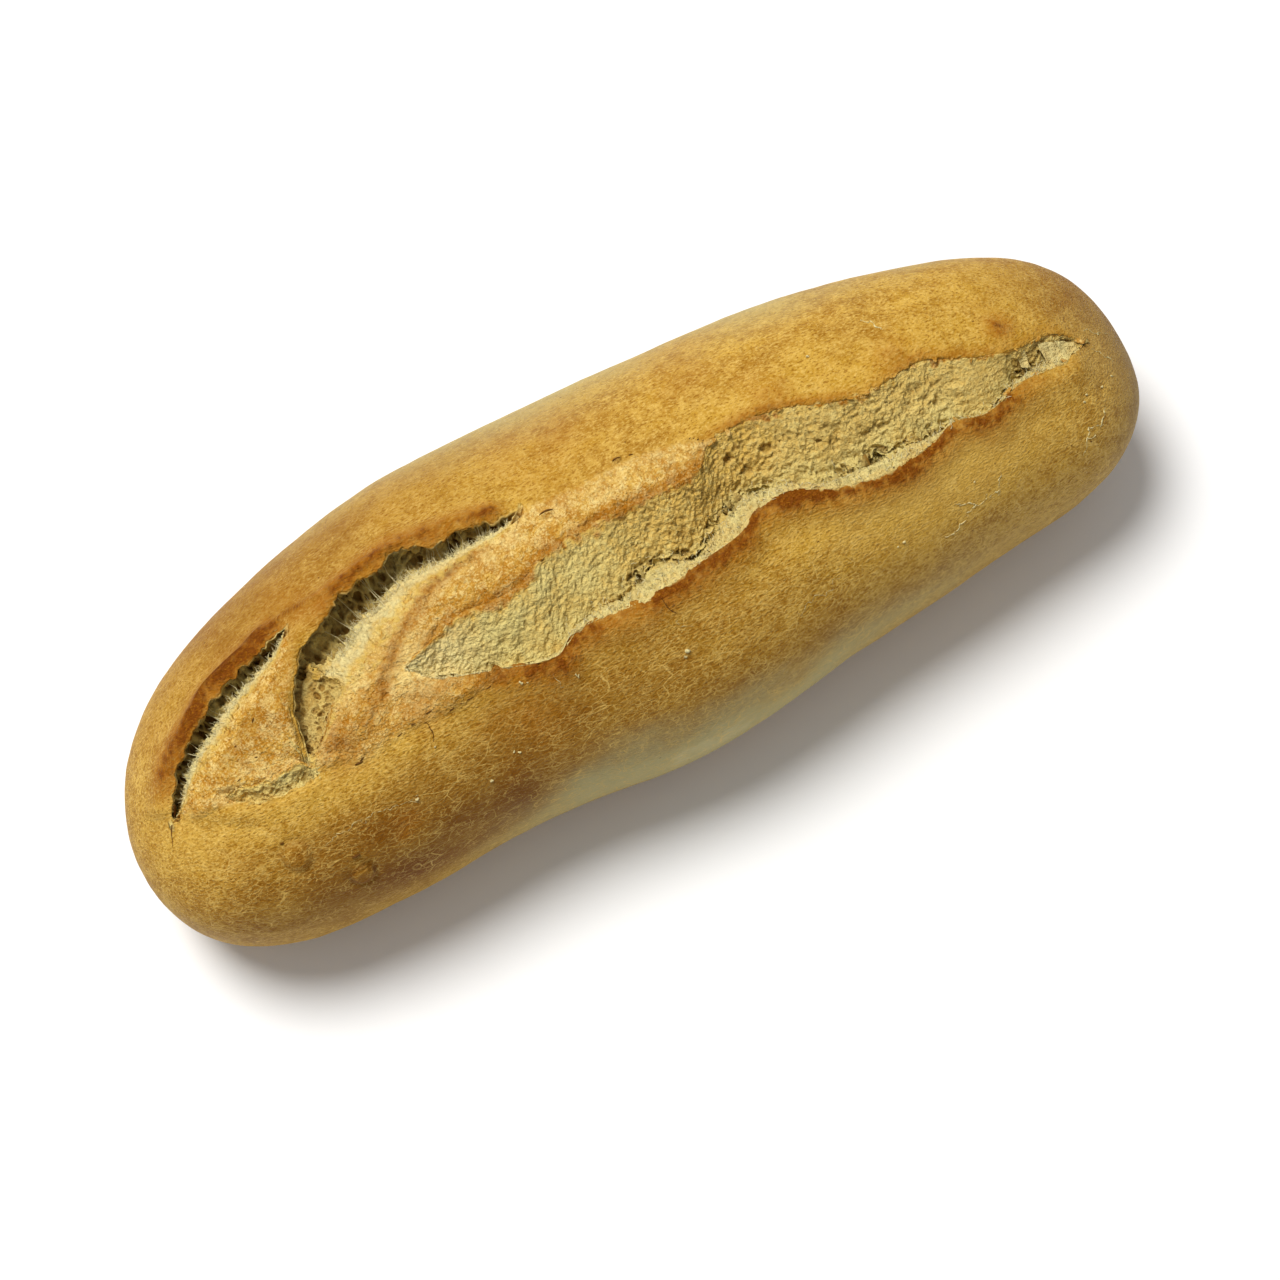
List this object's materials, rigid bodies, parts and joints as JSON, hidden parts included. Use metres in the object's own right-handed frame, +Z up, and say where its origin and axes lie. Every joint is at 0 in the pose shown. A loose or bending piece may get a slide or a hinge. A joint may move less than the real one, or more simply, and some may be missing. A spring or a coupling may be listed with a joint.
{
  "type": "bread roll",
  "caption": "Long white bread roll with a domed golden crust, overlapping top scores torn open to pale crumb, rounded ends and a flat sole",
  "frame": {"origin": "centre of the bounding box in plan, on the plane of the flat sole", "axes": "+X along the roll towards the end the longest score runs to, +Y across it towards the lips of the two short scores, +Z up from the sole to the scored top"},
  "size_m": [0.21, 0.0736, 0.0551],
  "materials": {
    "crust": "baked wheat crust, golden brown, satin and lightly crackled, with torn pale crumb in the scores"
  },
  "bodies": {
    "root": {"bread_roll": "crust"}
  },
  "joints": []
}
